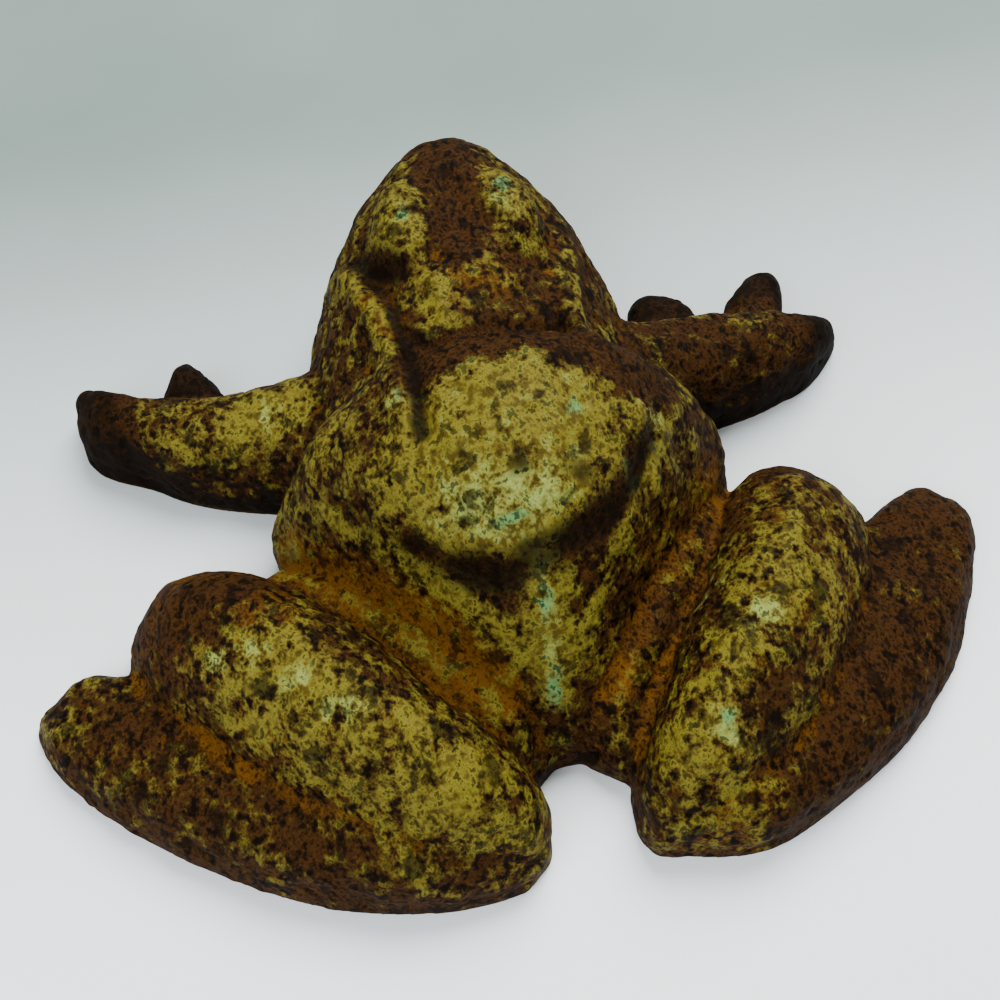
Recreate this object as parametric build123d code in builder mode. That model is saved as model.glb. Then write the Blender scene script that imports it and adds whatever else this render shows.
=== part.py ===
"""A squatting frog of cast iron, the kind that props a door or holds down papers.

It was poured in one piece from a carved pattern with a flat underside. Every wall
stands or leans straight up from the floor, so that the pattern could leave the sand,
and the body and head are hollow underneath. The casting is divided here along the
creases of its carving into regions that meet face to face.

Millimetres, +Z up, the snout towards -Y, the frog's left side on +X. The origin is
on the floor, under the middle of the casting.
"""

import os
from math import cos, radians, sin, tan

from build123d import *

# Trunk: from the crotch, forwards under the back to the neck crease
crotch_y = 39.3
trunk_length = 51.0
trunk_half_width = 33.0
trunk_height = 35.0

# Head: a wedge that runs from the snout back past the leaning neck crease, turned a
# little to the frog's right
snout_y = -54.6
head_turn = 4.0
head_pivot_behind_snout = 32.0
head_length = 58.0
head_half_width = 25.0
head_drop = 4.2
neck_crest_y = -7.5
neck_lean = 12.0

# The casting is hollow under the trunk and the head
wall = 5.5

# Eye mounds, long ovals that lean together towards the snout
eye_radius = 5.6
eye_length = 21.0
eye_spread = 6.6
eye_behind_snout = 25.0
eye_toe_in = 6.0
eye_sink = 4.8

# Trough that runs between the eyes
trough_radius = 5.0
trough_length = 40.0
trough_behind_snout = 24.0
trough_depth = 1.4

# Skin fold along each side of the head and of the back
fold_radius = 2.4

# Arms, from inside the shoulder to the end of the outer finger
shoulder_x = 22.0
shoulder_y = -14.4
arm_length = 36.5
arm_width = 20.0
arm_height = 18.0

# Middle and inner fingers, which stand out from the front of the hand
middle_finger_height = 7.8
inner_finger_height = 6.2

# Legs: the shank is folded along the thigh, and the foot lies along the shank
left_knee_out = 8.7
left_knee_y = 1.2
left_leg_splay = 41.3
left_leg_length = 62.0
left_leg_width = 31.0
right_knee_out = 3.1
right_knee_y = 1.85
right_leg_splay = 36.9
right_leg_length = 58.0
right_leg_width = 34.0
thigh_height = 13.5
shank_height = 20.2
foot_height = 11.3

# Every section runs this far below the floor before the underside is cut flat
overrun = 4.0

# How a section turns over, from its edge (0) to its crest (1): a steady slope, a round
# dome, or one fuller than round
edge_shares = (0.0, 0.035, 0.16, 0.50, 1.0)
slope_rise_shares = (0.0, 0.22, 0.46, 0.84, 1.0)
round_rise_shares = (0.0, 0.30, 0.58, 0.88, 1.0)
full_rise_shares = (0.0, 0.42, 0.74, 0.94, 1.0)

# Where the crest stands across a section, from its inner or rear edge
middle_share = 0.50
shank_crest_share = 0.42
foot_crest_share = 0.37

# Sections of the trunk as shares: forwards from the crotch, half width, height
trunk_shares = (
    (0.00, 0.16, 0.11),
    (0.04, 0.21, 0.23),
    (0.11, 0.27, 0.38),
    (0.20, 0.38, 0.56),
    (0.29, 0.48, 0.73),
    (0.38, 0.60, 0.87),
    (0.50, 0.78, 0.95),
    (0.65, 0.95, 1.00),
    (0.80, 1.00, 0.98),
    (0.92, 0.95, 0.87),
    (1.00, 0.87, 0.79),
)
trunk_hollow_rows = 3

# Sections of the head as shares: back from the snout, half width, height
head_shares = (
    (0.00, 0.15, 0.56),
    (0.02, 0.28, 0.67),
    (0.07, 0.43, 0.79),
    (0.15, 0.58, 0.90),
    (0.26, 0.75, 0.97),
    (0.40, 0.88, 1.00),
    (0.56, 0.96, 0.98),
    (0.70, 0.99, 0.95),
    (0.85, 1.00, 0.92),
    (1.00, 1.00, 0.91),
)
head_hollow_rows = 3

# Middle line of a skin fold as shares: back from the snout to the crotch, out from the
# middle, height
fold_shares = (
    (0.25, 0.46, 0.50),
    (0.38, 0.385, 0.69),
    (0.50, 0.345, 0.755),
    (0.555, 0.355, 0.83),
    (0.61, 0.365, 0.845),
    (0.67, 0.39, 0.80),
    (0.74, 0.44, 0.63),
)

# Sections of the arm and the outer finger as shares: out from the shoulder,
# rear edge and front edge about the shoulder line, height
left_arm_shares = (
    (-0.06, -0.65, 0.42, 0.95),
    (0.20, -0.45, 0.44, 0.76),
    (0.42, -0.31, 0.47, 0.69),
    (0.66, -0.07, 0.51, 0.67),
)
left_outer_finger_shares = (
    left_arm_shares[-1],
    (0.80, 0.09, 0.65, 0.64),
    (0.91, 0.22, 0.80, 0.52),
    (0.97, 0.42, 0.76, 0.23),
)
right_arm_shares = (
    (-0.06, -0.62, 0.36, 0.97),
    (0.20, -0.45, 0.36, 0.79),
    (0.42, -0.38, 0.37, 0.71),
    (0.66, -0.25, 0.27, 0.66),
)
right_outer_finger_shares = (
    right_arm_shares[-1],
    (0.78, -0.17, 0.24, 0.58),
    (0.88, -0.03, 0.26, 0.45),
    (0.96, 0.13, 0.29, 0.16),
)

# Sections of the middle and inner fingers as shares: forwards of the shoulder line,
# inner side and outer side out along the arm, height
left_middle_finger_shares = (
    (0.36, 0.30, 0.68, 1.00),
    (0.62, 0.40, 0.63, 1.00),
    (0.84, 0.47, 0.59, 0.90),
    (0.96, 0.50, 0.55, 0.50),
)
left_inner_finger_shares = (
    (0.34, 0.09, 0.32, 1.00),
    (0.48, 0.13, 0.30, 0.90),
    (0.58, 0.18, 0.26, 0.50),
)
right_middle_finger_shares = (
    (0.15, 0.38, 0.74, 1.00),
    (0.46, 0.49, 0.78, 1.00),
    (0.72, 0.61, 0.81, 0.88),
    (0.87, 0.72, 0.79, 0.50),
)
right_inner_finger_shares = (
    (0.22, 0.11, 0.45, 1.00),
    (0.50, 0.12, 0.44, 1.00),
    (0.72, 0.14, 0.38, 0.90),
    (0.86, 0.19, 0.29, 0.55),
)

# Sections of the leg as shares: from the knee to the heel, inner edge, outer edge,
# height
left_thigh_shares = (
    (0.18, -0.14, 0.06, 0.60),
    (0.26, -0.24, 0.08, 0.86),
    (0.42, -0.29, 0.08, 1.00),
    (0.60, -0.31, 0.08, 0.98),
    (0.75, -0.28, 0.07, 0.82),
    (0.84, -0.21, 0.06, 0.58),
    (0.88, -0.13, 0.03, 0.33),
)
left_shank_shares = (
    (0.01, 0.22, 0.39, 0.28),
    (0.05, 0.09, 0.55, 0.54),
    (0.14, -0.03, 0.63, 0.82),
    (0.30, -0.08, 0.68, 0.98),
    (0.50, -0.08, 0.67, 1.02),
    (0.70, -0.05, 0.60, 0.96),
    (0.85, -0.02, 0.50, 0.81),
    (0.94, 0.07, 0.38, 0.59),
    (0.98, 0.18, 0.25, 0.30),
)
left_foot_shares = (
    (-0.04, 0.76, 0.92, 0.17),
    (0.00, 0.67, 1.00, 0.41),
    (0.10, 0.56, 1.05, 0.61),
    (0.28, 0.44, 1.04, 0.79),
    (0.48, 0.36, 0.96, 0.91),
    (0.68, 0.30, 0.82, 0.98),
    (0.84, 0.24, 0.62, 0.98),
    (0.93, 0.21, 0.45, 0.78),
    (0.98, 0.22, 0.30, 0.42),
)
right_thigh_shares = (
    (0.20, -0.10, 0.06, 0.60),
    (0.28, -0.20, 0.07, 0.86),
    (0.43, -0.27, 0.07, 1.00),
    (0.60, -0.31, 0.07, 0.98),
    (0.75, -0.29, 0.07, 0.82),
    (0.84, -0.20, 0.07, 0.56),
    (0.88, -0.12, 0.06, 0.33),
)
right_shank_shares = (
    (0.02, 0.16, 0.35, 0.30),
    (0.06, 0.05, 0.47, 0.50),
    (0.15, -0.03, 0.59, 0.77),
    (0.30, -0.04, 0.64, 0.95),
    (0.50, -0.02, 0.65, 1.00),
    (0.70, 0.00, 0.59, 0.96),
    (0.85, 0.03, 0.49, 0.80),
    (0.94, 0.09, 0.38, 0.57),
    (0.99, 0.15, 0.28, 0.28),
)
right_foot_shares = (
    (-0.11, 0.70, 0.86, 0.22),
    (-0.07, 0.63, 0.93, 0.40),
    (0.03, 0.54, 0.98, 0.56),
    (0.20, 0.45, 1.01, 0.74),
    (0.40, 0.39, 0.98, 0.91),
    (0.60, 0.34, 0.88, 0.99),
    (0.78, 0.29, 0.72, 1.00),
    (0.90, 0.25, 0.56, 0.94),
    (0.96, 0.22, 0.38, 0.75),
    (1.00, 0.19, 0.23, 0.54),
)

head_height = trunk_height - head_drop

UP = Vector(0, 0, 1)
FORWARD = Vector(0, -1, 0)
SIDES = (("left", 1), ("right", -1))

legs = {
    "left": (left_knee_out, left_knee_y, left_leg_splay, left_leg_length, left_leg_width),
    "right": (right_knee_out, right_knee_y, right_leg_splay, right_leg_length, right_leg_width),
}


def upright(origin, across):
    """A vertical plane through origin, with its X along across and its Y up."""
    return Plane(origin=origin, x_dir=across, z_dir=across.cross(UP))


def carved_lump(sections, rise_shares, crest_share):
    """Loft a row of domed sections and cut the underside flat on the floor.

    Each section is a plane, its near and far edge and its height.
    """
    with BuildPart() as lump:
        for plane, near, far, height in sections:
            crest = near + (far - near) * crest_share
            rising = [
                (near + (crest - near) * edge, height * rise)
                for edge, rise in zip(edge_shares, rise_shares)
            ]
            falling = [
                (far + (crest - far) * edge, height * rise)
                for edge, rise in zip(edge_shares, rise_shares)
            ]
            with BuildSketch(plane):
                with BuildLine():
                    Spline(*rising, *reversed(falling[:-1]), tangents=((0, 1), (0, -1)))
                    Polyline((far, 0), (far, -overrun), (near, -overrun), (near, 0))
                make_face()
        loft()
        split(bisect_by=Plane.XY, keep=Keep.TOP)
    return lump.part


def trunk_sections(inset, rows):
    """The trunk's sections from the crotch forwards, inset by a wall."""
    sections = []
    for along, half_width, height in rows:
        plane = upright(Vector(0, crotch_y - inset - along * trunk_length, 0), Vector(1, 0, 0))
        edge = half_width * trunk_half_width - inset
        sections.append((plane, -edge, edge, height * trunk_height - inset))
    return sections


def head_middle(back, height):
    """A point on the head's turned middle plane, back from the snout."""
    sideways = (back - head_pivot_behind_snout) * tan(radians(head_turn))
    return Vector(sideways, snout_y + back, height)


def head_sections(inset, rows):
    """The head's sections from the snout back, inset by a wall."""
    sections = []
    for along, half_width, height in rows:
        plane = upright(head_middle(inset + along * head_length, 0), Vector(1, 0, 0))
        edge = half_width * head_half_width - inset
        sections.append((plane, -edge, edge, height * head_height - inset))
    return sections


def arm_sections(side, rows):
    """Sections square to X, from the shoulder outwards."""
    sections = []
    for along, rear, front, height in rows:
        origin = Vector(side * (shoulder_x + along * arm_length), shoulder_y, 0)
        plane = upright(origin, FORWARD)
        sections.append((plane, rear * arm_width, front * arm_width, height * arm_height))
    return sections


def leg_sections(side_name, side, rows, lump_height):
    """Sections square to the folded leg, from the knee towards the heel."""
    knee_out, knee_y, splay, length, width = legs[side_name]
    knee = Vector(side * (trunk_half_width + knee_out), knee_y, 0)
    towards_heel = Vector(-side * sin(radians(splay)), cos(radians(splay)), 0)
    outwards = Vector(side * cos(radians(splay)), sin(radians(splay)), 0)
    sections = []
    for along, inner, outer, height in rows:
        plane = upright(knee + towards_heel * (along * length), outwards)
        sections.append((plane, inner * width, outer * width, height * lump_height))
    return sections


def finger_sections(side, rows, finger_height):
    """Sections square to Y, from inside the hand forwards."""
    sections = []
    for forward, inner, outer, height in rows:
        origin = Vector(side * shoulder_x, shoulder_y - forward * arm_width, 0)
        plane = upright(origin, Vector(side, 0, 0))
        sections.append((plane, inner * arm_length, outer * arm_length, height * finger_height))
    return sections


def heading(turn):
    """A level direction, turned from straight ahead to the frog's left."""
    return Vector(sin(radians(turn)), -cos(radians(turn)), 0)


def long_oval(centre, along, radius, length):
    """A body of revolution like an egg with two like ends, lying along a direction."""
    across = along.cross(UP)
    half = length / 2
    with BuildPart() as oval:
        with BuildSketch(Plane(origin=centre, x_dir=across, z_dir=UP)):
            with BuildLine():
                EllipticalCenterArc((0, 0), radius, half, start_angle=-90, arc_size=180)
                Line((0, half), (0, -half))
            make_face()
        revolve(axis=Axis(centre, along))
    return oval.part


def skin_fold(side):
    """A round cord that runs half sunk along the body and dives in at both ends."""
    body_length = crotch_y - snout_y
    points = [
        (side * out * trunk_half_width, snout_y + back * body_length, height * trunk_height)
        for back, out, height in fold_shares
    ]
    with BuildPart() as fold:
        with BuildLine() as path:
            Spline(*points)
        with BuildSketch(Plane(origin=path.line @ 0, z_dir=path.line % 0)):
            Circle(fold_radius)
        sweep()
    return fold.part


neck_lean_dir = Vector(0, cos(radians(neck_lean)), sin(radians(neck_lean)))
neck_plane = Plane(origin=(0, neck_crest_y, head_height), x_dir=(1, 0, 0), z_dir=neck_lean_dir)

trough_centre = head_middle(trough_behind_snout, head_height - trough_depth + trough_radius)
trough = long_oval(trough_centre, FORWARD, trough_radius, trough_length)
folds = [skin_fold(side) for side_name, side in SIDES]

# The outer forms of the trunk and the head, which everything else is carved against
with BuildPart() as trunk_form:
    add(carved_lump(trunk_sections(0, trunk_shares), slope_rise_shares, middle_share))
    add(folds)
    split(bisect_by=neck_plane, keep=Keep.TOP)

with BuildPart() as head_form:
    add(carved_lump(head_sections(0, head_shares), round_rise_shares, middle_share))
    add(trough, mode=Mode.SUBTRACT)
    add(folds)
    split(bisect_by=neck_plane, keep=Keep.BOTTOM)

trunk_hollow = carved_lump(
    trunk_sections(wall, trunk_shares[trunk_hollow_rows:]), slope_rise_shares, middle_share
)
head_hollow = carved_lump(
    head_sections(wall, head_shares[head_hollow_rows:]), round_rise_shares, middle_share
)

os.makedirs("parts", exist_ok=True)

with BuildPart() as trunk:
    add(trunk_form.part)
    add(trunk_hollow, mode=Mode.SUBTRACT)
trunk.part.label = "trunk"
export_step(trunk.part, "parts/trunk.step")

with BuildPart() as head:
    add(head_form.part)
    add(head_hollow, mode=Mode.SUBTRACT)
head.part.label = "head"
export_step(head.part, "parts/head.step")

for side_name, side in SIDES:
    centre = head_middle(eye_behind_snout, head_height - eye_sink)
    centre += Vector(side * eye_spread, 0, 0)
    along = heading(-side * eye_toe_in)

    with BuildPart() as eye:
        add(long_oval(centre, along, eye_radius, eye_length))
        add(head_form.part, mode=Mode.SUBTRACT)
    eye.part.label = side_name + "_eye"
    export_step(eye.part, "parts/" + eye.part.label + ".step")

arms = {
    "left": (left_arm_shares, left_outer_finger_shares),
    "right": (right_arm_shares, right_outer_finger_shares),
}
fingers = {
    "left": (left_middle_finger_shares, left_inner_finger_shares),
    "right": (right_middle_finger_shares, right_inner_finger_shares),
}

for side_name, side in SIDES:
    arm_rows, outer_rows = arms[side_name]
    middle_rows, inner_rows = fingers[side_name]
    arm_form = carved_lump(arm_sections(side, arm_rows), full_rise_shares, middle_share)
    outer_form = carved_lump(arm_sections(side, outer_rows), full_rise_shares, middle_share)

    with BuildPart() as arm:
        add(arm_form)
        add(trunk_form.part, mode=Mode.SUBTRACT)
        add(head_form.part, mode=Mode.SUBTRACT)
    arm.part.label = side_name + "_arm"
    export_step(arm.part, "parts/" + arm.part.label + ".step")

    with BuildPart() as outer_finger:
        add(outer_form)
    outer_finger.part.label = side_name + "_outer_finger"
    export_step(outer_finger.part, "parts/" + outer_finger.part.label + ".step")

    middle_form = carved_lump(
        finger_sections(side, middle_rows, middle_finger_height), full_rise_shares, middle_share
    )
    inner_form = carved_lump(
        finger_sections(side, inner_rows, inner_finger_height), full_rise_shares, middle_share
    )

    with BuildPart() as middle_finger:
        add(middle_form)
        add(arm_form, mode=Mode.SUBTRACT)
        add(outer_form, mode=Mode.SUBTRACT)
    middle_finger.part.label = side_name + "_middle_finger"
    export_step(middle_finger.part, "parts/" + middle_finger.part.label + ".step")

    with BuildPart() as inner_finger:
        add(inner_form)
        add(arm_form, mode=Mode.SUBTRACT)
        add(head_form.part, mode=Mode.SUBTRACT)
    inner_finger.part.label = side_name + "_inner_finger"
    export_step(inner_finger.part, "parts/" + inner_finger.part.label + ".step")

leg_rows = {
    "left": (left_thigh_shares, left_shank_shares, left_foot_shares),
    "right": (right_thigh_shares, right_shank_shares, right_foot_shares),
}

for side_name, side in SIDES:
    thigh_rows, shank_rows, foot_rows = leg_rows[side_name]
    thigh_form = carved_lump(
        leg_sections(side_name, side, thigh_rows, thigh_height),
        round_rise_shares,
        middle_share,
    )
    shank_form = carved_lump(
        leg_sections(side_name, side, shank_rows, shank_height),
        round_rise_shares,
        shank_crest_share,
    )
    foot_form = carved_lump(
        leg_sections(side_name, side, foot_rows, foot_height),
        full_rise_shares,
        foot_crest_share,
    )

    with BuildPart() as thigh:
        add(thigh_form)
        add(trunk_form.part, mode=Mode.SUBTRACT)
    thigh.part.label = side_name + "_thigh"
    export_step(thigh.part, "parts/" + thigh.part.label + ".step")

    with BuildPart() as shank:
        add(shank_form)
        add(trunk_form.part, mode=Mode.SUBTRACT)
        add(thigh_form, mode=Mode.SUBTRACT)
    shank.part.label = side_name + "_shank"
    export_step(shank.part, "parts/" + shank.part.label + ".step")

    with BuildPart() as foot:
        add(foot_form)
        add(shank_form, mode=Mode.SUBTRACT)
    foot.part.label = side_name + "_foot"
    export_step(foot.part, "parts/" + foot.part.label + ".step")
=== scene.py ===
"""The looks of a cast-iron frog: its carved skin, its worn paint and its rust.

The casting is one piece of iron. Copies of its solids are melted into one closed
skin, the carving is pushed into that skin, and the skin is sawn along the creases
into the regions that the solids have. Millimetres are used wherever a size of the
carving is given; the objects themselves are in metres.
"""

import math
from types import SimpleNamespace

import bmesh
import bpy
import numpy as np
from mathutils import Matrix, Vector, noise


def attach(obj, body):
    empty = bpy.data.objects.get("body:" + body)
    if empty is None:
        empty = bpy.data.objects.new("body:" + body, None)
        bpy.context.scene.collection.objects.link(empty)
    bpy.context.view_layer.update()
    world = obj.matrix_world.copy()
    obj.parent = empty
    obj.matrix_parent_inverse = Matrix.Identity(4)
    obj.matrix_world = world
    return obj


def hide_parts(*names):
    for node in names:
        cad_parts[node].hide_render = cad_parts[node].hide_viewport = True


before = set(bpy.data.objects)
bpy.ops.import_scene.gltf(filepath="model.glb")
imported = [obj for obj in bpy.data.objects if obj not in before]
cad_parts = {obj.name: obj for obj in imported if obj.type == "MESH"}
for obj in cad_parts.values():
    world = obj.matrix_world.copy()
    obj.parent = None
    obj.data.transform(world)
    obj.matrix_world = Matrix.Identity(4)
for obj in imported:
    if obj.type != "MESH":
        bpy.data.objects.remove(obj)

bl_info = {
    "name": "Cast-Iron Frog",
    "version": (1, 0, 0),
    "blender": (4, 5, 0),
    "location": "3D View > Sidebar > Frog",
    "description": "Carves, saws and paints a squatting frog of cast iron",
    "category": "Add Mesh",
}

MM = 0.001
SKIN = "casting skin"
FINISH = "old paint on cast iron"

# Names of the material slots
PAINTED = "worn_painted_iron"
BARE = "bare_brown_iron"

# Attributes painted on the skin, each from 0 to 1
PAINT = "paint"
PALE = "pale"
VERDIGRIS = "verdigris"
RUST = "rust"
# Soiling, and painted shade on the steep walls, in the creases and darker towards the floor
DIRT_AND_SHADE = "grime"
HOLLOW = "hollow"


class FrogCarving(bpy.types.PropertyGroup):
    """Sizes of the skin and of the carving in it."""

    grain: bpy.props.FloatProperty(
        name="Grain",
        description="Spacing of the skin's vertices",
        default=0.00042,
        unit="LENGTH",
    )
    overlap: bpy.props.FloatProperty(
        name="Overlap",
        description="How far each solid swells so that it melts into its neighbours",
        default=0.00018,
        unit="LENGTH",
    )
    fold_height: bpy.props.FloatProperty(
        name="Fold height",
        description="Height added to the skin folds along both sides of the back",
        default=0.0004,
        unit="LENGTH",
    )
    crease_depth: bpy.props.FloatProperty(
        name="Crease depth",
        description="Depth of the carved creases beside the folds and at the neck",
        default=0.0008,
        unit="LENGTH",
    )
    lump_height: bpy.props.FloatProperty(
        name="Lump height",
        description="Height of the uneven lumps that the sand mould left",
        default=0.0005,
        unit="LENGTH",
    )
    pit_depth: bpy.props.FloatProperty(
        name="Pit depth",
        description="Depth of the pits that rust has eaten",
        default=0.00022,
        unit="LENGTH",
    )


def linear(hex_colour):
    """A screen colour such as 8a5a1c as linear red, green, blue and alpha."""
    screen = [int(hex_colour[at:at + 2], 16) / 255 for at in (0, 2, 4)]
    light = [c / 12.92 if c <= 0.04045 else ((c + 0.055) / 1.055) ** 2.4 for c in screen]
    return (*light, 1.0)


def colour(label, about, hex_colour):
    """A colour property with its default."""
    return bpy.props.FloatVectorProperty(
        name=label,
        description=about,
        default=linear(hex_colour),
        size=4,
        min=0.0,
        max=1.0,
        subtype="COLOR",
    )


class FrogColours(bpy.types.PropertyGroup):
    """Colours of the iron, the rust, the paint and the floor."""

    iron: colour("Iron", "Oxidised iron in the pits and on the rims", "070300")
    brown: colour("Brown rust", "Old smooth rust where the paint has gone", "341e07")
    orange: colour("Orange rust", "Loose rust that gathers in the creases", "5c3a09")
    olive: colour("Olive paint", "The paint where it is thin and dirty", "40360b")
    yellow: colour("Yellow paint", "The paint where it is rubbed clean", "6c641e")
    pale: colour("Pale paint", "The chalky top coat on the back", "7c8842")
    turquoise: colour("Turquoise paint", "Flakes of an older coat", "4d7a4a")
    floor: colour("Floor", "The pale surface that the frog stands on", "f4fafb")
    # Painted shade: the floor darkens to this colour towards its far end, in front of the snout
    far_floor_shade: colour("Far floor", "The floor's tint in front of the snout", "65766f")
    clouds: colour("Floor clouds", "Faint clouds on the floor", "e4e7ea")


# The skin, and what can be measured on it

# Lower than this, a vertex belongs to the flat rim that stands on the floor
RIM_HEIGHT = 0.45

# How much a crease is smoothed away to tell how deep it was
CREASE_ROUNDS = 40


class Skin:
    """The skin's vertices as arrays in millimetres, to be pushed about like clay."""

    def __init__(self, mesh):
        self.mesh = mesh
        self.count = len(mesh.vertices)
        self.places = self.read(mesh.vertices, "co") / MM
        pairs = np.empty(len(mesh.edges) * 2, np.int32)
        mesh.edges.foreach_get("vertices", pairs)
        self.ends = pairs.reshape(-1, 2)
        self.valence = np.bincount(pairs, minlength=self.count).astype(float)
        self.rim = self.places[:, 2] < RIM_HEIGHT
        self.places[self.rim, 2] = 0.0

    def read(self, items, name):
        """A vector of every vertex, as rows."""
        values = np.empty(self.count * 3, np.float32)
        items.foreach_get(name, values)
        return values.reshape(-1, 3).astype(float)

    def normals(self):
        """Put the places into the mesh, and read its normals."""
        self.mesh.vertices.foreach_set("co", (self.places * MM).astype(np.float32).ravel())
        self.mesh.update()
        return self.read(self.mesh.vertex_normals, "vector")

    def averaged(self, values):
        """Each value replaced by the mean of its neighbours."""
        first, second = self.ends[:, 0], self.ends[:, 1]
        columns = []
        for column in np.atleast_2d(values.T):
            total = np.bincount(first, column[second], self.count)
            total += np.bincount(second, column[first], self.count)
            columns.append(total / self.valence)
        return np.array(columns).T.reshape(values.shape)

    def relax(self, rounds, share=0.5):
        """Smooth the skin; share says how far each vertex moves to its neighbours' mean."""
        for _ in range(rounds):
            self.places += (self.averaged(self.places) - self.places) * share
            self.places[self.rim, 2] = 0.0

    def hollowness(self):
        """How deep each point lies in a crease, against the skin smoothed over."""
        smooth = self.places
        for _ in range(CREASE_ROUNDS):
            smooth = self.averaged(smooth)
        return ((smooth - self.places) * self.normals()).sum(axis=1)

    def paint(self, name, values):
        """Keep a value for every vertex, for the finish to read."""
        layer = self.mesh.attributes.new(name, "FLOAT", "POINT")
        layer.data.foreach_set("value", np.clip(values, 0, 1).astype(np.float32))


def ease(values, low, high):
    """0 below low, 1 above high and a smooth rise between them."""
    share = np.clip((values - low) / (high - low), 0, 1)
    return share * share * (3 - 2 * share)


def off_line(places, points):
    """Distance of each place from a line through points, seen from above."""
    nearest = np.full(len(places), np.inf)
    for start, end in zip(points, points[1:]):
        start, end = np.array(start, float), np.array(end, float)
        run = end - start
        share = np.clip(((places[:, :2] - start) @ run) / (run @ run), 0, 1)
        foot = start + share[:, None] * run
        nearest = np.minimum(nearest, np.hypot(*(places[:, :2] - foot).T))
    return nearest


def beyond(places, line):
    """How far behind a line each place lies, towards the crotch."""
    across, along = np.array(sorted(line), float).T
    return places[:, 1] - np.interp(places[:, 0], across, along)


def strip(places, points, width):
    """1 on a line, fading to nothing at about its width."""
    return np.exp(-(off_line(places, points) / width) ** 2)


def spot(places, x, y, across, along, turn=0.0):
    """1 in the middle of an oval, fading to nothing at its edge."""
    c, s = math.cos(math.radians(turn)), math.sin(math.radians(turn))
    dx, dy = places[:, 0] - x, places[:, 1] - y
    return np.exp(-(((dx * c + dy * s) / across) ** 2 + ((dy * c - dx * s) / along) ** 2))


def rough(places, size, depth, shift=0.0):
    """Even noise between about -1 and 1, with lumps of this size, moved by a shift."""
    return np.array([
        noise.fractal(Vector((x + shift, y - shift, z + shift)) / size, 0.9, 2.1, depth)
        for x, y, z in places
    ])


# Cuts, each a point on the cut and the direction of the side that is kept, in
# millimetres. They run along the creases between the regions.


def sideways(x):
    """A cut at x that keeps what is farther from the middle."""
    return (x, 0, 0), (math.copysign(1, x), 0, 0)


def forwards(y):
    """A cut at y that keeps what is nearer to the snout's end."""
    return (0, y, 0), (0, -1, 0)


def other_side(cut):
    """The same cut, keeping the other side."""
    return cut[0], tuple(-v for v in cut[1])


class Leg:
    """A folded leg: its knee, its splay in degrees, its size, and the cuts through it.

    The cuts are given in shares of the length, back from the knee, and of the width,
    outwards from it. The foot's cut slants from a place at its toe to one at its heel.
    """

    def __init__(self, name, knee, splay, length, width, hip, fold, toe, heel):
        self.name = name
        side = 1 if name == "left" else -1
        turn = math.radians(splay)
        self.knee = Vector((side * knee[0], knee[1], 0))
        self.back = Vector((-side * math.sin(turn), math.cos(turn), 0))
        self.outwards = Vector((side * math.cos(turn), math.sin(turn), 0))
        self.length = length
        self.width = width
        self.half = (0, 0, 0), (side, 0, 0)
        self.hip = tuple(self.place(0, hip)), tuple(self.outwards)
        self.fold = tuple(self.place(0, fold)), tuple(self.outwards)
        start = self.place(*toe)
        square = (self.place(*heel) - start).cross(Vector((0, 0, side)))
        if square.dot(self.outwards) < 0:
            square.negate()
        self.foot = tuple(start), tuple(square.normalized())

    def place(self, along, across):
        """A place on the floor, in shares of the leg's length and width."""
        back = self.back * (along * self.length)
        return self.knee + back + self.outwards * (across * self.width)

    def outside(self, places):
        """How far outwards of the knee each place lies."""
        return (places - np.array(self.knee)) @ np.array(self.outwards)


LEGS = (
    Leg("left", (41.7, 1.2), 41.3, 62, 31, -0.27, 0.0, (0.03, 0.60), (0.97, 0.22)),
    Leg("right", (36.1, 1.85), 36.9, 58, 34, -0.25, 0.01, (0.00, 0.57), (0.98, 0.20)),
)

# The shoulder, the knuckle of the outer finger, the palm, and the web between the inner
# and the middle finger
ARMS = (
    ("left", sideways(24.8), sideways(46.1), forwards(-24.5), sideways(33.6)),
    ("right", sideways(-24.8), sideways(-46.1), forwards(-21.4), sideways(-38.2)),
)

NECK_LEAN = math.radians(12)
NECK = (0, -7.5, 30.8), (0, -math.cos(NECK_LEAN), -math.sin(NECK_LEAN))


# Carving

# Lines of the carving, seen from above
LEFT_FOLD = ((17, -31), (15.5, -26), (13.4, -19), (12.8, -8), (13.2, 1), (14, 7), (16, 11))
RIGHT_FOLD = tuple((-x, y) for x, y in LEFT_FOLD)
LEFT_GROOVE = ((12.9, -24), (10.9, -19), (10.3, -9), (10.6, -1), (11.4, 7))
NAPE_FOLD = ((5.5, -21), (4.5, -15), (4.0, -9))
NECK_CREASE = ((9, -8), (4, -9), (-3, -9), (-9, -8), (-14, -6), (-19, -4))
SHIELD_EDGE = ((20, 7), (17, 12), (11, 18), (5, 21.5), (0, 21), (-5, 19), (-10, 15.5), (-14, 9))
SHIELD_FOOT = (
    (22, 10), (19, 15), (12, 21), (5, 24), (0, 23.5), (-6, 21.5), (-12, 17.5), (-16, 11),
)
LEFT_BROW = ((15, -33), (12.5, -25), (8, -21), (4, -22))
RIGHT_BROW = ((-14, -34), (-11.5, -24), (-7, -20), (-3, -22))
LEFT_MOUTH = ((1, -55), (8, -52), (14, -44), (19, -33), (22, -22))
RIGHT_MOUTH = ((-1, -55), (-9, -51), (-15, -42), (-19, -32), (-22, -20))
MOUTH_HEIGHT = 10.5

# Rounds of smoothing, for the steps that the melting left and for the ledges where the
# shoulders meet the trunk
MELT_ROUNDS = 14
SHOULDER_ROUNDS = 110

# Closer than this, in metres, two vertices are one: in a copy of a solid, and in a piece
SOLID_WELD = 0.01 * MM
PIECE_WELD = 0.001 * MM

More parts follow.
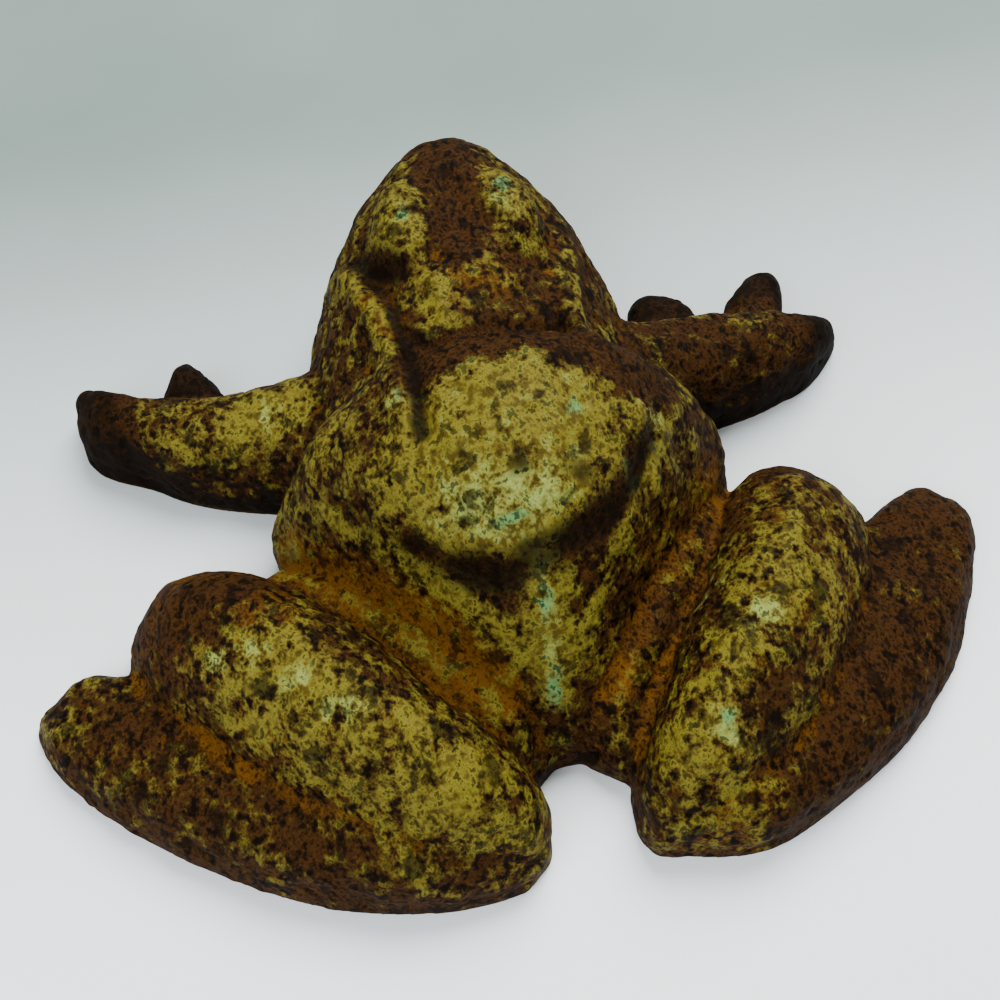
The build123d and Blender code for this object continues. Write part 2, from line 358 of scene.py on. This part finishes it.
# Corners of the flesh behind each shoulder, on the left side
ARMPIT = (
    (18, -10, 0), (18, 0, 0), (28.4, -0.6, 0), (28, -7, 0),
    (17, -10, 20), (17, -3, 22), (25.5, -2.5, 14), (25.5, -8, 13.5),
)


def armpit(side):
    """A lump that joins the arm to the trunk behind it."""
    lump = bmesh.new()
    for x, y, z in ARMPIT:
        lump.verts.new(Vector((side * x, y, z)) * MM)
    bmesh.ops.convex_hull(lump, input=lump.verts)
    bmesh.ops.recalc_face_normals(lump, faces=lump.faces)
    mesh = bpy.data.meshes.new("armpit")
    lump.to_mesh(mesh)
    lump.free()
    return mesh


def swollen(solid, overlap):
    """A copy of a solid with every vertex moved outwards."""
    lump = bmesh.new()
    lump.from_mesh(solid)
    bmesh.ops.remove_doubles(lump, verts=lump.verts, dist=SOLID_WELD)
    lump.normal_update()
    for vert in lump.verts:
        vert.co += vert.normal * overlap
    mesh = bpy.data.meshes.new("swollen")
    lump.to_mesh(mesh)
    lump.free()
    return mesh


def drop_bubbles(mesh):
    """Remove the closed shells that the melting left inside the iron."""
    solid = bmesh.new()
    solid.from_mesh(mesh)
    highest = max(solid.verts, key=lambda vert: vert.co.z)
    reached = {highest}
    front = [highest]
    while front:
        vert = front.pop()
        for edge in vert.link_edges:
            other = edge.other_vert(vert)
            if other not in reached:
                reached.add(other)
                front.append(other)
    bubbles = [vert for vert in solid.verts if vert not in reached]
    bmesh.ops.delete(solid, geom=bubbles, context="VERTS")
    solid.to_mesh(mesh)
    solid.free()


def melt_solids(sizes):
    """Join swollen copies of every solid and melt them into one closed skin."""
    lumps = [swollen(node.data, sizes.overlap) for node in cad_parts.values()]
    lumps += [armpit(side) for side in (1, -1)]
    joined = bmesh.new()
    for lump in lumps:
        joined.from_mesh(lump)
        bpy.data.meshes.remove(lump)
    block = bpy.data.meshes.new("block")
    joined.to_mesh(block)
    joined.free()

    crucible = bpy.data.objects.new("crucible", block)
    bpy.context.scene.collection.objects.link(crucible)
    melt = crucible.modifiers.new("Melt", "REMESH")
    melt.mode = "VOXEL"
    melt.voxel_size = sizes.grain
    melt.adaptivity = 0.0
    bpy.context.view_layer.update()
    ready = crucible.evaluated_get(bpy.context.evaluated_depsgraph_get())
    mesh = bpy.data.meshes.new_from_object(ready)
    bpy.data.objects.remove(crucible)
    bpy.data.meshes.remove(block)
    drop_bubbles(mesh)
    mesh.name = SKIN
    return mesh


def carve(skin, sizes):
    """Push the folds, creases and lumps into the skin."""
    skin.relax(MELT_ROUNDS)
    behind_neck = (skin.places - np.array(NECK[0])) @ -np.array(NECK[1])
    shoulders = np.exp(-(behind_neck / 5) ** 2) * ease(np.abs(skin.places[:, 0]), 12, 17)
    skin.relax(SHOULDER_ROUNDS, shoulders[:, None] * 0.9)
    places = skin.places.copy()
    normals = skin.normals()
    outer = ease(normals[:, 2], -0.25, 0.05)
    top = ease(normals[:, 2], 0.1, 0.5)
    fold, crease = sizes.fold_height / MM, sizes.crease_depth / MM

    push = np.zeros(skin.count)
    for rise, line, width in (
        (fold, LEFT_FOLD, 1.9),
        (0.8 * fold, RIGHT_FOLD, 1.9),
        (1.4 * fold, NAPE_FOLD, 1.8),
        (-crease, LEFT_GROOVE, 1.3),
        (-1.1 * crease, NECK_CREASE, 2.0),
        (-0.9 * crease, LEFT_BROW, 1.6),
        (-0.7 * crease, RIGHT_BROW, 1.6),
        (0.7 * crease, SHIELD_EDGE, 2.4),
        (-0.7 * crease, SHIELD_FOOT, 1.5),
    ):
        push += rise * strip(places, line, width) * top

    height = places[:, 2]
    lips = ease(height, 6, 9) * (1 - ease(height, 12, 15))
    line_of_lips = crease * 0.8 * np.exp(-((height - MOUTH_HEIGHT) / 0.9) ** 2) * lips
    for line in (LEFT_MOUTH, RIGHT_MOUTH):
        push -= line_of_lips * strip(places, line, 5) * outer

    # Near the floor the lumps are low and there are no pits
    low = 1 - ease(height, 0.0, 1.2)
    lumps = sizes.lump_height / MM * rough(places, 7.0, 2)
    lumps += sizes.lump_height / MM * 0.45 * rough(places, 2.6, 2, 40)
    push += lumps * outer * (1 - 0.7 * low)
    pits = ease(rough(places, 1.6, 2, 90), 0.15, 0.6)
    push -= sizes.pit_depth / MM * pits * outer * (1 - low)
    skin.places = places + normals * push[:, None]
    skin.places[:, 2] = np.maximum(skin.places[:, 2], 0)
    skin.places[skin.rim, 2] = 0.0


# Weathering

NECK_BAND = ((9, -3), (3, -4), (-4, -3.5), (-11, -2), (-17, 1))
TROUGH = ((-1, -50), (-0.5, -36), (0.5, -24))
SHIELD_MIDDLE = ((0, 5), (2, 10), (4, 14))
RUMP_STRIPE = ((1, 22), (1.5, 38))
LEFT_GROIN = ((31, 7), (22, 17), (15, 24), (8, 33))
RIGHT_GROIN = ((-27, 8), (-20, 17), (-13, 25), (-7, 34))
LEFT_TEMPLE = ((14, -29), (12, -25), (9, -22))
LEFT_NAPE = ((14, -20), (12, -12))

# Ovals of paint, each the place of its middle and its half width and half length
PALE_SPOTS = (
    (39, 24, 4, 3), (35, 25, 4, 3.5), (31, 29, 5, 3.5), (26, 34, 5, 3), (29, -14, 4, 4),
    (-24, 33, 4, 5), (-20, 26, 4, 4), (-16, 45, 4, 5), (13, 2, 2.5, 3), (-17, 7, 3, 8),
)
TURQUOISE_SPOTS = (
    (-6.5, 9, 2.4, 2.8), (-12.3, 15.3, 2.0, 2.6), (1, 27, 2.0, 3.0), (1.5, 34, 2.2, 3.5),
    (3, 20, 5.0, 1.6), (7, -29, 2.0, 2.6), (13, 1, 1.4, 1.8), (-16, 44, 2, 2),
)


def body_regions(places, up):
    """How far each vertex belongs to each region of the body, from 0 to 1."""
    x, y = places[:, 0], places[:, 1]
    out_of_line = np.abs(x)
    left, right = x > 0, x < 0

    # Behind the neck, the thighs lie inside the knees' lines, the shanks and feet outside
    left_out, right_out = (leg.outside(places) for leg in LEGS)
    behind = ease(y, -7, -3)
    leg = ease(np.where(left, left_out + 9.0, right_out + 9.5), -1.5, 1.5) * behind
    thigh = leg * (1 - ease(np.where(left, left_out, right_out), -1.5, 2.0))
    foot = np.maximum(ease(left_out, 17, 20) * left, ease(right_out, 18.5, 21.5) * right)
    foot *= behind

    # Ahead of them come the hands, the rest of the arms and the head between these
    hand = np.maximum(ease(out_of_line, 45, 52), ease(-y, 21, 26) * ease(out_of_line, 24, 28))
    hand *= ease(-y, 2, 6)
    limb = ease(out_of_line, 24, 28) * ease(-y, 3, 7)
    head = ease(-y, 8, 11) * (1 - ease(out_of_line, 24, 27))
    trunk = (1 - head) * (1 - leg) * (1 - limb)
    rump = trunk * ease(beyond(places, SHIELD_EDGE), 0.0, 2.5)
    shield = trunk * (1 - rump) * ease(-off_line(places, SHIELD_MIDDLE), -15, -8)
    return SimpleNamespace(
        left=left,
        right=right,
        leg=leg,
        thigh=thigh,
        shank=leg * (1 - thigh) * (1 - foot),
        foot=foot,
        hand=hand,
        arm=limb * (1 - hand),
        head=head,
        trunk=trunk,
        rump=rump,
        shield=shield,
        wall=1 - ease(up, 0.1, 0.5),
        stripe=rump * strip(places, RUMP_STRIPE, 2.6),
        mounds=np.maximum(spot(places, 8, -30, 4.6, 7), spot(places, -7, -29, 4.6, 7)),
        nape=head * spot(places, -1, -16, 13, 7),
        trough=head * strip(places, TROUGH, 3.2),
        neck=strip(places, NECK_BAND, 4.6),
    )


def paint_left(places, body, crease, ridge):
    """How well the paint has held."""
    paint = 0.41 * body.head + 0.47 * body.trunk * (1 - body.rump) + 0.38 * body.rump
    paint += 0.43 * body.arm + 0.06 * body.hand
    paint += 0.38 * body.thigh + 0.43 * body.shank + 0.35 * body.foot
    paint += 0.27 * body.shield + 0.14 * body.mounds * body.head + 0.45 * body.stripe
    paint += 0.08 * ridge - 0.16 * crease + 0.10 * strip(places, LEFT_FOLD, 3.0)
    # Less paint on the steep walls, which darkens them as painted shade; the neck band and the
    # head's trough lose paint too
    paint -= 0.12 * body.wall + 0.62 * body.neck + 0.36 * body.trough
    paint += 0.08 * body.thigh * body.left
    paint -= (0.12 * body.foot + 0.12 * body.arm + 0.08 * body.hand) * body.right
    for gain, region, oval in (
        (-0.12, body.rump, (-8, 29, 5, 9)),
        (-0.17, body.shank, (-38, 8, 9, 7)),
        (-0.34, body.shank, (40, 13, 10, 8)),
        (0.14, body.shank, (24, 41, 13, 6, -41)),
        (0.30, 1, (30, -15, 7, 5)),
        (0.24, 1, (33, 27, 9, 5, -41)),
        (0.14, 1, (-19, 9, 5, 9)),
        (0.30, 1, (5.5, -16, 2.2, 5)),
        (0.12, 1, (-26, 30, 16, 6, 37)),
        (0.14, 1, (15, 44, 8, 5, -41)),
        (0.12, 1, (-13, 46, 4, 6)),
    ):
        paint += gain * region * spot(places, *oval)
    return paint


def rust_grown(places, body, crease):
    """How orange the rust is."""
    rust = np.maximum.reduce((
        0.30 + 0.35 * crease,
        0.95 * strip(places, LEFT_GROIN, 4.5),
        0.62 * strip(places, RIGHT_GROIN, 5.0),
        0.60 * body.nape,
    ))
    rust = np.maximum.reduce((
        rust - 0.15 * body.trough,
        0.75 * spot(places, 5, -16, 3, 6),
        0.75 * strip(places, LEFT_NAPE, 2.0),
        0.30 * body.foot,
        0.45 * body.shank,
    ))
    rust -= 0.35 * body.neck + 0.45 * strip(places, NECK_CREASE, 3.0)
    return rust - 0.30 * body.hand - 0.15 * body.foot * body.right


def dirt_and_painted_shade(places, body):
    """How thick the soiling and the painted shade lie."""
    low = 1 - ease(places[:, 2], 1.0, 6.0)
    # Painted shade on the steep walls, less of it on the legs, and darker towards the floor away
    # from the legs
    shaded_walls = (0.42 - 0.18 * body.leg) * body.wall + 0.25 * low * (1 - body.leg)
    # Soiling on the hands and in two dark spots on the back; painted shade along the temple's
    # fold, under the shield's edge and in the left groove
    dirt_and_shade_depth = np.maximum.reduce((
        shaded_walls + 0.68 * body.hand,
        0.75 * strip(places, LEFT_TEMPLE, 2.2),
        0.75 * strip(places, SHIELD_FOOT, 2.0) * body.trunk,
        0.8 * strip(places, LEFT_GROOVE, 1.4),
        0.8 * spot(places, 1.2, 14.5, 2.2, 2.0),
        0.75 * spot(places, -5.4, 16.5, 2.6, 1.8),
    ))
    # Painted shade on the arms' walls and in the neck crease, and darker in the head's trough
    dirt_and_shade_depth += 0.35 * body.arm * body.wall + 0.22 * body.trough
    return dirt_and_shade_depth + 0.25 * strip(places, NECK_CREASE, 2.0)


def weather(skin):
    """Paint where the coats, the rust, the soiling and the painted shade are."""
    places = skin.places
    up = skin.normals()[:, 2]
    hollowness = skin.hollowness()
    crease = ease(hollowness, 0.03, 0.45)
    ridge = ease(-hollowness, 0.02, 0.4)
    body = body_regions(places, up)

    pale = [0.60 * spot(places, *oval) for oval in PALE_SPOTS]
    pale.append(body.shield * (0.40 + 0.25 * spot(places, 4, 18, 12, 5)))
    pale += [0.52 * body.mounds, 0.60 * body.stripe]
    turquoise = [0.68 * spot(places, *oval) for oval in TURQUOISE_SPOTS]
    turquoise.append(0.9 * spot(places, -7.5, -32, 2.2, 2.6))

    skin.paint(PAINT, paint_left(places, body, crease, ridge))
    skin.paint(PALE, np.maximum.reduce(pale))
    skin.paint(VERDIGRIS, np.maximum.reduce(turquoise))
    skin.paint(RUST, rust_grown(places, body, crease))
    skin.paint(DIRT_AND_SHADE, dirt_and_painted_shade(places, body))
    skin.paint(HOLLOW, 1 - ease(up, -0.35, 0.0))


# Sawing


def saw(mesh, cuts):
    """A closed piece of the skin, on the kept side of every cut."""
    piece = bmesh.new()
    piece.from_mesh(mesh)
    for point, kept in cuts:
        result = bmesh.ops.bisect_plane(
            piece,
            geom=piece.verts[:] + piece.edges[:] + piece.faces[:],
            dist=1e-7,
            plane_co=Vector(point) * MM,
            plane_no=kept,
            clear_inner=True,
        )
        edges = [item for item in result["geom_cut"] if isinstance(item, bmesh.types.BMEdge)]
        edges = [edge for edge in edges if edge.is_valid and edge.is_boundary]
        bmesh.ops.triangle_fill(piece, use_beauty=True, edges=edges)
        slits = [edge for edge in piece.edges if edge.is_boundary]
        bmesh.ops.holes_fill(piece, edges=slits)
        for edge in edges:
            if edge.is_valid:
                edge.smooth = False
        bmesh.ops.remove_doubles(piece, verts=piece.verts, dist=PIECE_WELD)
    bmesh.ops.recalc_face_normals(piece, faces=piece.faces)
    return piece


def place_piece(node, cuts, slot, *more_nodes):
    """Saw out a piece, give it its finish and let it stand for its solids."""
    shape = saw(bpy.data.meshes[SKIN], cuts)
    for face in shape.faces:
        face.smooth = True
    name = node + "_skin"
    mesh = bpy.data.meshes.new(name)
    shape.to_mesh(mesh)
    shape.free()
    mesh.materials.append(bpy.data.materials[FINISH])
    piece = bpy.data.objects.new(name, mesh)
    bpy.context.scene.collection.objects.link(piece)
    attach(piece, "root")
    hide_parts(node, *more_nodes)


# Finishes


def add_node(tree, kind, output=None, wires=None, **settings):
    """Add a node, set it up, fill its inputs, and give back one of its outputs."""
    made = tree.nodes.new(kind)
    for name, value in settings.items():
        setattr(made, name, value)
    for name, source in (wires or {}).items():
        socket = next(s for s in made.inputs if name in (s.identifier, s.name))
        if isinstance(source, bpy.types.NodeSocket):
            tree.links.new(source, socket)
        else:
            socket.default_value = source
    return next((s for s in made.outputs if output in (s.identifier, s.name)), None)


def lay_coats(tree, under, coats):
    """Lay coats on a colour, each where its amount rises from low to high.

    Gives back the colour, and how far each coat covers it.
    """
    covers = []
    for amount, low, high, most, over in coats:
        cover = add_node(tree, "ShaderNodeMapRange", "Result", {
            "Value": amount,
            "From Min": low,
            "From Max": high,
            "To Max": most,
        }, interpolation_type="SMOOTHSTEP")
        under = add_node(tree, "ShaderNodeMix", "Result_Color", {
            "Factor_Float": cover,
            "A_Color": under,
            "B_Color": over,
        }, data_type="RGBA")
        covers.append(cover)
    return under, covers


def cast_iron(colours):
    """Sand-cast iron under old brushed paint that has worn and flaked.

    To the eye it is matt and blotchy. Olive to yellow paint, with a chalky pale coat and
    turquoise flakes over it, is broken by brown rust, which is orange in the creases, and
    by near-black iron in the pits.
    """
    material = bpy.data.materials.new(FINISH)
    material.use_nodes = True
    tree = material.node_tree
    tree.nodes.clear()
    where = add_node(tree, "ShaderNodeTexCoord", "Object")
    brushed = {"Vector": where, "Scale": (1.0, 0.8, 0.9)}
    brushed = add_node(tree, "ShaderNodeMapping", "Vector", brushed)

    # Patterns, by the size of their blotches in millimetres. The grit is coarser than the
    # mould's sand was, because grains of 0.2 mm would be too fine to show.
    broad, blotch, flake, grit, stain = (
        add_node(tree, "ShaderNodeTexNoise", "Fac", {
            "Vector": place,
            "Scale": 1 / (size * MM),
            "Detail": detail,
            "Roughness": roughness,
            "Distortion": distortion,
        })
        for place, size, detail, roughness, distortion in (
            (where, 9.0, 4.0, 0.55, 0.0),
            (brushed, 2.4, 6.0, 0.62, 0.15),
            (brushed, 1.1, 4.0, 0.62, 0.1),
            (where, 0.45, 4.0, 0.6, 0.0),
            (brushed, 3.2, 4.0, 0.65, 0.3),
        )
    )
    paint, pale, verdigris, rust, grime, hollow = (
        add_node(tree, "ShaderNodeAttribute", "Fac", attribute_name=name)
        for name in (PAINT, PALE, VERDIGRIS, RUST, DIRT_AND_SHADE, HOLLOW)
    )

    # What was painted on the skin, broken up by the patterns
    amounts = []
    for terms in (
        ((rust, 1.0), (flake, 1.0), (broad, 1.0)),
        ((pale, 1.0), (blotch, 1.0), (flake, 1.0)),
        ((verdigris, 1.0), (flake, 1.0)),
        ((paint, 0.55), (blotch, 0.6), (broad, 0.25), (flake, 0.45)),
        ((grime, 1.0), (flake, 1.0), (blotch, 1.0)),
    ):
        total = 0.0
        for term, weight in terms:
            wires = {"Value": term, "Value_001": weight, "Value_002": total}
            total = add_node(tree, "ShaderNodeMath", "Value", wires, operation="MULTIPLY_ADD")
        amounts.append(total)
    rusty, chalky, flaky, painted, dirt_and_shade_amount = amounts

    iron, _ = lay_coats(tree, colours.iron, (
        (flake, 0.36, 0.56, 1.0, colours.brown),
        (rusty, 1.40, 1.80, 0.85, colours.orange),
        (grit, 0.50, 0.66, 0.6, colours.iron),
    ))
    coat, _ = lay_coats(tree, colours.olive, (
        (flake, 0.38, 0.62, 1.0, colours.yellow),
        (chalky, 1.45, 1.80, 0.9, colours.pale),
        (flaky, 1.00, 1.25, 0.85, colours.turquoise),
    ))
    skin, covers = lay_coats(tree, iron, (
        (painted, 0.86, 1.02, 1.0, coat),
        # Near-black iron colour where the soiling and the painted shade lie
        (dirt_and_shade_amount, 1.25, 1.85, 0.9, colours.iron),
        (stain, 0.54, 0.63, 0.75, colours.iron),
        (flake, 0.55, 0.64, 0.8, colours.iron),
        (hollow, 0.3, 0.8, 1.0, iron),
    ))

    # The paint and the grit stand up, and the pits go down
    held, pitted = covers[0], covers[3]
    relief = 0.0
    for term, rise in ((held, 0.5), (grit, 0.5), (pitted, -0.8)):
        wires = {"Value": term, "Value_001": rise, "Value_002": relief}
        relief = add_node(tree, "ShaderNodeMath", "Value", wires, operation="MULTIPLY_ADD")
    bump = {"Height": relief, "Distance": 0.14 * MM, "Strength": 0.9}
    worn_to_painted = {"Value": held, "To Min": 0.75, "To Max": 0.6}
    surface = add_node(tree, "ShaderNodeBsdfPrincipled", "BSDF", {
        "Base Color": skin,
        "Roughness": add_node(
            tree, "ShaderNodeMapRange", "Result", worn_to_painted, interpolation_type="SMOOTHSTEP"
        ),
        "Normal": add_node(tree, "ShaderNodeBump", "Normal", bump),
        "Specular IOR Level": 0.04,
    })
    add_node(tree, "ShaderNodeOutputMaterial", wires={"Surface": surface})


def pale_board(colours):
    """Painted board. To the eye it is matt, pale and even, with painted shade that makes it
    greyer far away.
    """
    material = bpy.data.materials.new("pale_board")
    material.use_nodes = True
    tree = material.node_tree
    tree.nodes.clear()
    where = add_node(tree, "ShaderNodeTexCoord", "Object")
    depth = add_node(tree, "ShaderNodeSeparateXYZ", "Y", {"Vector": where})
    cloud = add_node(tree, "ShaderNodeTexNoise", "Fac", {
        "Vector": where,
        "Scale": 1 / (60 * MM),
        "Detail": 3.0,
        "Roughness": 0.5,
        "Distortion": 0.0,
    })
    # Painted shade: darker and greyer towards the far end, in front of the snout
    tint, _ = lay_coats(tree, colours.far_floor_shade, (
        (depth, -0.10, 0.06, 1.0, colours.floor),
        (cloud, 0.3, 0.7, 0.04, colours.clouds),
    ))
    surface = {"Base Color": tint, "Roughness": 0.7}
    surface = add_node(tree, "ShaderNodeBsdfPrincipled", "BSDF", surface)
    add_node(tree, "ShaderNodeOutputMaterial", wires={"Surface": surface})
    return material


# Operators


class FROG_OT_casting(bpy.types.Operator):
    """Melt the solids into one skin, carve it and weather it"""

    bl_idname = "frog.casting"
    bl_label = "Casting Skin"

    def execute(self, context):
        sizes = context.scene.frog_carving
        skin = Skin(melt_solids(sizes))
        carve(skin, sizes)
        weather(skin)
        cast_iron(context.scene.frog_colours)
        return {"FINISHED"}


class FROG_OT_trunk(bpy.types.Operator):
    """Saw out the trunk"""

    bl_idname = "frog.trunk"
    bl_label = "Trunk"

    def execute(self, context):
        hips = [other_side(leg.hip) for leg in LEGS]
        place_piece("trunk", [other_side(NECK), *hips], PAINTED)
        return {"FINISHED"}


class FROG_OT_head(bpy.types.Operator):
    """Saw out the head with its eye mounds"""

    bl_idname = "frog.head"
    bl_label = "Head"

    def execute(self, context):
        shoulders = [other_side(shoulder) for side, shoulder, *others in ARMS]
        place_piece("head", [NECK, *shoulders], PAINTED, "left_eye", "right_eye")
        return {"FINISHED"}


class FROG_OT_arms(bpy.types.Operator):
    """Saw out both arms"""

    bl_idname = "frog.arms"
    bl_label = "Arms"

    def execute(self, context):
        for side, shoulder, knuckle, palm, web in ARMS:
            cuts = [NECK, shoulder, other_side(knuckle), other_side(palm)]
            place_piece(side + "_arm", cuts, PAINTED)
        return {"FINISHED"}


class FROG_OT_fingers(bpy.types.Operator):
    """Saw out the three fingers of each hand"""

    bl_idname = "frog.fingers"
    bl_label = "Fingers"

    def execute(self, context):
        for side, shoulder, knuckle, palm, web in ARMS:
            inner = [shoulder, palm, other_side(web)]
            middle = [palm, web, other_side(knuckle)]
            outer = [NECK, knuckle]
            for finger, cuts in (("inner", inner), ("middle", middle), ("outer", outer)):
                place_piece(side + "_" + finger + "_finger", cuts, BARE)
        return {"FINISHED"}


class FROG_OT_thighs(bpy.types.Operator):
    """Saw out both thighs"""

    bl_idname = "frog.thighs"
    bl_label = "Thighs"

    def execute(self, context):
        for leg in LEGS:
            cuts = [other_side(NECK), leg.half, leg.hip, other_side(leg.fold)]
            place_piece(leg.name + "_thigh", cuts, PAINTED)
        return {"FINISHED"}


class FROG_OT_shanks(bpy.types.Operator):
    """Saw out both shanks"""

    bl_idname = "frog.shanks"
    bl_label = "Shanks"

    def execute(self, context):
        for leg in LEGS:
            cuts = [other_side(NECK), leg.half, leg.fold, other_side(leg.foot)]
            place_piece(leg.name + "_shank", cuts, PAINTED)
        return {"FINISHED"}


class FROG_OT_feet(bpy.types.Operator):
    """Saw out both hind feet"""

    bl_idname = "frog.feet"
    bl_label = "Feet"

    def execute(self, context):
        for leg in LEGS:
            cuts = [other_side(NECK), leg.half, leg.fold, leg.foot]
            place_piece(leg.name + "_foot", cuts, BARE)
        return {"FINISHED"}


# The stage, in metres

FLOOR_REACH = 3.0

# Each lamp's name, place, diameter, watts and tint. They face the middle of the frog.
LAMPS = (
    ("window", (-0.22, -0.34, 0.62), 0.55, 12.0, "ffffff"),
    ("bounce", (0.45, 0.40, 0.50), 0.7, 8.0, "f6f8ff"),
)
FROG_MIDDLE = Vector((0, 0, 0.015))
ROOM_TINT = "e6e8e8"
ROOM_STRENGTH = 0.72

# The camera's place, and which way its right and its top point
CAMERA_PLACE = (0.02105, 0.09015, 0.1452)
CAMERA_RIGHT = Vector((-0.9744, 0.2250, 0.0))
CAMERA_UP = Vector((-0.1897, -0.8218, 0.5373))


class FROG_OT_stage(bpy.types.Operator):
    """Lay the floor, hang the lights and set up the camera"""

    bl_idname = "frog.stage"
    bl_label = "Stage"

    def execute(self, context):
        collection = context.scene.collection
        board = bmesh.new()
        bmesh.ops.create_grid(board, x_segments=1, y_segments=1, size=FLOOR_REACH)
        mesh = bpy.data.meshes.new("floor")
        board.to_mesh(mesh)
        board.free()
        mesh.materials.append(pale_board(context.scene.frog_colours))
        floor = bpy.data.objects.new("floor", mesh)
        collection.objects.link(floor)

        for name, place, size, power, tint in LAMPS:
            lamp = bpy.data.lights.new(name, "AREA")
            lamp.shape = "DISK"
            lamp.size = size
            lamp.energy = power
            lamp.color = linear(tint)[:3]
            holder = bpy.data.objects.new(name, lamp)
            holder.location = place
            facing = FROG_MIDDLE - Vector(place)
            holder.rotation_euler = facing.to_track_quat("-Z", "Y").to_euler()
            collection.objects.link(holder)

        world = bpy.data.worlds.new("room")
        world.use_nodes = True
        backdrop = world.node_tree.nodes["Background"]
        backdrop.inputs["Color"].default_value = linear(ROOM_TINT)
        backdrop.inputs["Strength"].default_value = ROOM_STRENGTH
        context.scene.world = world

        lens = bpy.data.cameras.new("camera")
        lens.sensor_width = 36.0
        lens.lens = 43.2
        lens.shift_y = 0.011
        lens.clip_start = 0.01
        camera = bpy.data.objects.new("camera", lens)
        turn = Matrix((CAMERA_RIGHT, CAMERA_UP, CAMERA_RIGHT.cross(CAMERA_UP))).transposed()
        camera.matrix_world = Matrix.Translation(CAMERA_PLACE) @ turn.to_4x4()
        collection.objects.link(camera)
        context.scene.camera = camera
        return {"FINISHED"}


class FROG_PT_panel(bpy.types.Panel):
    """Lists the steps that make the frog"""

    bl_idname = "FROG_PT_panel"
    bl_label = "Cast-Iron Frog"
    bl_space_type = "VIEW_3D"
    bl_region_type = "UI"
    bl_category = "Frog"

    def draw(self, context):
        layout = self.layout
        for group in (context.scene.frog_carving, context.scene.frog_colours):
            for name in group.__annotations__:
                layout.prop(group, name)
        for operator in OPERATORS:
            layout.operator(operator.bl_idname)


OPERATORS = (
    FROG_OT_casting,
    FROG_OT_trunk,
    FROG_OT_head,
    FROG_OT_arms,
    FROG_OT_fingers,
    FROG_OT_thighs,
    FROG_OT_shanks,
    FROG_OT_feet,
    FROG_OT_stage,
)
CLASSES = (FrogCarving, FrogColours, *OPERATORS, FROG_PT_panel)


def register():
    for cls in CLASSES:
        bpy.utils.register_class(cls)
    bpy.types.Scene.frog_carving = bpy.props.PointerProperty(type=FrogCarving)
    bpy.types.Scene.frog_colours = bpy.props.PointerProperty(type=FrogColours)


def unregister():
    del bpy.types.Scene.frog_colours
    del bpy.types.Scene.frog_carving
    for cls in reversed(CLASSES):
        bpy.utils.unregister_class(cls)


def main():
    """Run every step."""
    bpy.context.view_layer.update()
    register()
    bpy.ops.frog.casting()
    bpy.ops.frog.trunk()
    bpy.ops.frog.head()
    bpy.ops.frog.arms()
    bpy.ops.frog.fingers()
    bpy.ops.frog.thighs()
    bpy.ops.frog.shanks()
    bpy.ops.frog.feet()
    bpy.ops.frog.stage()
    bpy.data.meshes.remove(bpy.data.meshes[SKIN])


if __name__ == "__main__":
    main()
